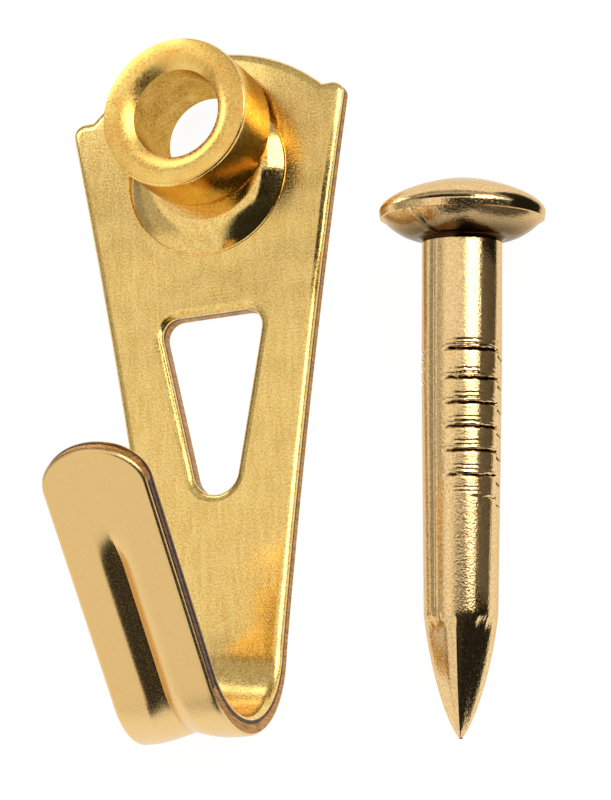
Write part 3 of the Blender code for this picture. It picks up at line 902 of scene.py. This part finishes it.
CARD_HEIGHT = 6.2
GREY_CARD_X = 19.2
SIDE_CARD_X = 19.4
FRONT_CARD_Y = -80.0
FRONT_CARD_HEIGHT = 22.0
OVER_CARD_Z = 14.0
PANEL_Y = 15.0
PANELS_MEET_X = -7.0
PANEL_GLOW = 1.7
LEFT_PANEL_GLOW = 3.2


def standing(start, end, foot, top):
    """The corners of an upright card between two places on the table."""
    return [(*start, foot), (*end, foot), (*end, top), (*start, top)]


grey_corners = standing((GREY_CARD_X, -17.5), (GREY_CARD_X, -1.4), 0.0, CARD_HEIGHT)
side_corners = standing((SIDE_CARD_X, -32.0), (SIDE_CARD_X, 8.0), 0.0, CARD_HEIGHT)
front_corners = standing((-20.0, FRONT_CARD_Y), (60.0, FRONT_CARD_Y), 0.0, FRONT_CARD_HEIGHT)
over_corners = [(x, y, OVER_CARD_Z) for x, y in ((6.0, 2.2), (21.0, 1.2), (21.0, 10.4), (6.0, 8.6))]
white_corners = standing((PANELS_MEET_X, PANEL_Y), (-1.0, PANEL_Y), 3.0, 12.6)
left_corners = standing((-24.0, PANEL_Y), (PANELS_MEET_X, PANEL_Y), 6.0, 12.4)

for card_name, corners, colour, card_glow in (
        ("grey_card", grey_corners, "#989898", 0.0),
        ("side_card", side_corners, "#101010", 0.0),
        ("over_card", over_corners, "#101010", 0.0),
        ("black_card", front_corners, "#101010", 0.0),
        ("white_panel", white_corners, "#FFFFFF", PANEL_GLOW),
        ("left_panel", left_corners, "#FFFFFF", LEFT_PANEL_GLOW)):
    card_form = bmesh.new()
    card_form.faces.new([card_form.verts.new(Vector(corner) * MM) for corner in corners])
    flag = loose_object(card_name, card_form)
    flag.visible_camera = False
    flag.visible_diffuse = False
    flag.visible_shadow = False
    paper = bpy.data.materials.new("matt_" + card_name)
    paper.use_nodes = True
    paper_shader = paper.node_tree.nodes["Principled BSDF"]
    paper_shader.inputs["Base Color"].default_value = linear(colour)
    paper_shader.inputs["Roughness"].default_value = 0.9
    paper_shader.inputs["Emission Color"].default_value = linear(colour)
    paper_shader.inputs["Emission Strength"].default_value = card_glow
    flag.data.materials.append(paper)

# The light is a white tent round the table, dimmer at the left and on the far side, and open and dark
# at the front right, where the camera looks in. A softbox at the right gives the metal its white
# edges. Each pair of numbers is where, along a direction, one level fades into the next.

LEFT_FADE = (-0.64, -0.54)
LEFT_HEIGHTS = (0.28, 0.5)
LEFT_LEVELS = (0.37, 0.56)
FAR_FADE = (0.28, 0.41)
FAR_HEIGHTS = (0.2, 0.4)
FAR_LEVELS = (0.35, 0.54)
FRONT_FADE = (-0.4, -0.1)
FRONT_LEVEL = 0.92
OPENING_FADE = (-0.14, -0.06)
OPENING_SIDE_FADE = (-0.2, 0.0)
OPENING_LEVEL = 0.03
SOFTBOX_TOWARDS = Vector((0.70, 0.30, 0.65)).normalized()
SOFTBOX_FADE = (0.9, 0.935)
SOFTBOX_LEVEL = 3.2
SOFTBOX_EDGE_TOWARDS = (1.0, 0.3, 0.0)
SOFTBOX_EDGE_FADE = (0.5, 0.56)

world = bpy.data.worlds.new("light_tent")
bpy.context.scene.world = world
world.use_nodes = True
sky = world.node_tree
sky.nodes.clear()
towards = add_node(sky, "ShaderNodeTexCoord").outputs["Generated"]
tent_parts = add_node(sky, "ShaderNodeSeparateXYZ", {"Vector": towards})
left_level = add_node(sky, "ShaderNodeMapRange", {
    "Value": tent_parts.outputs["Z"], "From Min": LEFT_HEIGHTS[0], "From Max": LEFT_HEIGHTS[1],
    "To Min": LEFT_LEVELS[0], "To Max": LEFT_LEVELS[1]}, interpolation_type="SMOOTHSTEP")
from_left = add_node(sky, "ShaderNodeMapRange", {
    "Value": tent_parts.outputs["X"], "From Min": LEFT_FADE[0], "From Max": LEFT_FADE[1],
    "To Min": left_level.outputs["Result"], "To Max": 1.0}, interpolation_type="SMOOTHSTEP")
far_level = add_node(sky, "ShaderNodeMapRange", {
    "Value": tent_parts.outputs["Z"], "From Min": FAR_HEIGHTS[0], "From Max": FAR_HEIGHTS[1],
    "To Min": FAR_LEVELS[0], "To Max": FAR_LEVELS[1]})
to_far = add_node(sky, "ShaderNodeMapRange", {
    "Value": tent_parts.outputs["Y"], "From Min": FAR_FADE[0], "From Max": FAR_FADE[1],
    "To Min": 1.0, "To Max": far_level.outputs["Result"]}, interpolation_type="SMOOTHSTEP")
behind = add_node(sky, "ShaderNodeMath", {
    0: from_left.outputs["Result"], 1: to_far.outputs["Result"]}, operation="MULTIPLY")
tent = add_node(sky, "ShaderNodeMapRange", {
    "Value": tent_parts.outputs["Y"], "From Min": FRONT_FADE[0], "From Max": FRONT_FADE[1],
    "To Min": FRONT_LEVEL, "To Max": behind.outputs["Value"]}, interpolation_type="SMOOTHSTEP")
facing = add_node(sky, "ShaderNodeVectorMath", {0: towards, 1: SOFTBOX_TOWARDS}, operation="DOT_PRODUCT")
softbox = add_node(sky, "ShaderNodeMapRange", {
    "Value": facing.outputs["Value"], "From Min": SOFTBOX_FADE[0], "From Max": SOFTBOX_FADE[1],
    "To Min": 0.0, "To Max": SOFTBOX_LEVEL}, interpolation_type="SMOOTHSTEP")
beside = add_node(sky, "ShaderNodeVectorMath", {
    0: towards, 1: SOFTBOX_EDGE_TOWARDS}, operation="DOT_PRODUCT")
softbox_edge = add_node(sky, "ShaderNodeMapRange", {
    "Value": beside.outputs["Value"], "From Min": SOFTBOX_EDGE_FADE[0], "From Max": SOFTBOX_EDGE_FADE[1]})
cut_softbox = add_node(sky, "ShaderNodeMath", {
    0: softbox.outputs["Result"], 1: softbox_edge.outputs["Result"]}, operation="MULTIPLY")
lit = add_node(sky, "ShaderNodeMath", {
    0: tent.outputs["Result"], 1: cut_softbox.outputs["Value"]}, operation="ADD")
to_front = add_node(sky, "ShaderNodeMapRange", {
    "Value": tent_parts.outputs["Y"], "From Min": OPENING_FADE[0], "From Max": OPENING_FADE[1],
    "To Min": 1.0, "To Max": 0.0}, interpolation_type="SMOOTHSTEP")
to_right = add_node(sky, "ShaderNodeMapRange", {
    "Value": tent_parts.outputs["X"], "From Min": OPENING_SIDE_FADE[0], "From Max": OPENING_SIDE_FADE[1],
    "To Min": 0.0, "To Max": 1.0}, interpolation_type="SMOOTHSTEP")
opening = add_node(sky, "ShaderNodeMath", {
    0: to_front.outputs["Result"], 1: to_right.outputs["Result"]}, operation="MULTIPLY")
kept = add_node(sky, "ShaderNodeMapRange", {
    "Value": opening.outputs["Value"], "To Min": 1.0, "To Max": OPENING_LEVEL})
level = add_node(sky, "ShaderNodeMath", {
    0: lit.outputs["Value"], 1: kept.outputs["Result"]}, operation="MULTIPLY")
shine = add_node(sky, "ShaderNodeBackground", {
    "Color": linear("#FFFCF6"), "Strength": level.outputs["Value"]})
add_node(sky, "ShaderNodeOutputWorld", {"Surface": shine.outputs["Background"]})
bpy.context.scene.view_settings.view_transform = "Standard"

# The camera stands close, a little to the right of the hook and high above the table, as the
# picture was taken. Its place and aim come from the plate's outline in the picture.

CAMERA_AT = (47.62, -37.97, 114.27)
CAMERA_RIGHT = Vector((0.9315, -0.0345, -0.3621))
CAMERA_UP = Vector((0.1225, 0.9671, 0.2229))
FOCAL_LENGTH = 119.74
SENSOR_WIDTH = 36.0
CLIP_START = 5.0

camera_data = bpy.data.cameras.new("camera")
camera_data.lens = FOCAL_LENGTH
camera_data.sensor_width = SENSOR_WIDTH
camera_data.clip_start = CLIP_START * MM
camera = bpy.data.objects.new("camera", camera_data)
bpy.context.scene.collection.objects.link(camera)
camera_back = CAMERA_RIGHT.cross(CAMERA_UP)
aim = Matrix((CAMERA_RIGHT, CAMERA_UP, camera_back)).transposed().to_4x4()
camera.matrix_world = Matrix.Translation(Vector(CAMERA_AT) * MM) @ aim
bpy.context.scene.camera = camera

bpy.context.view_layer.update()
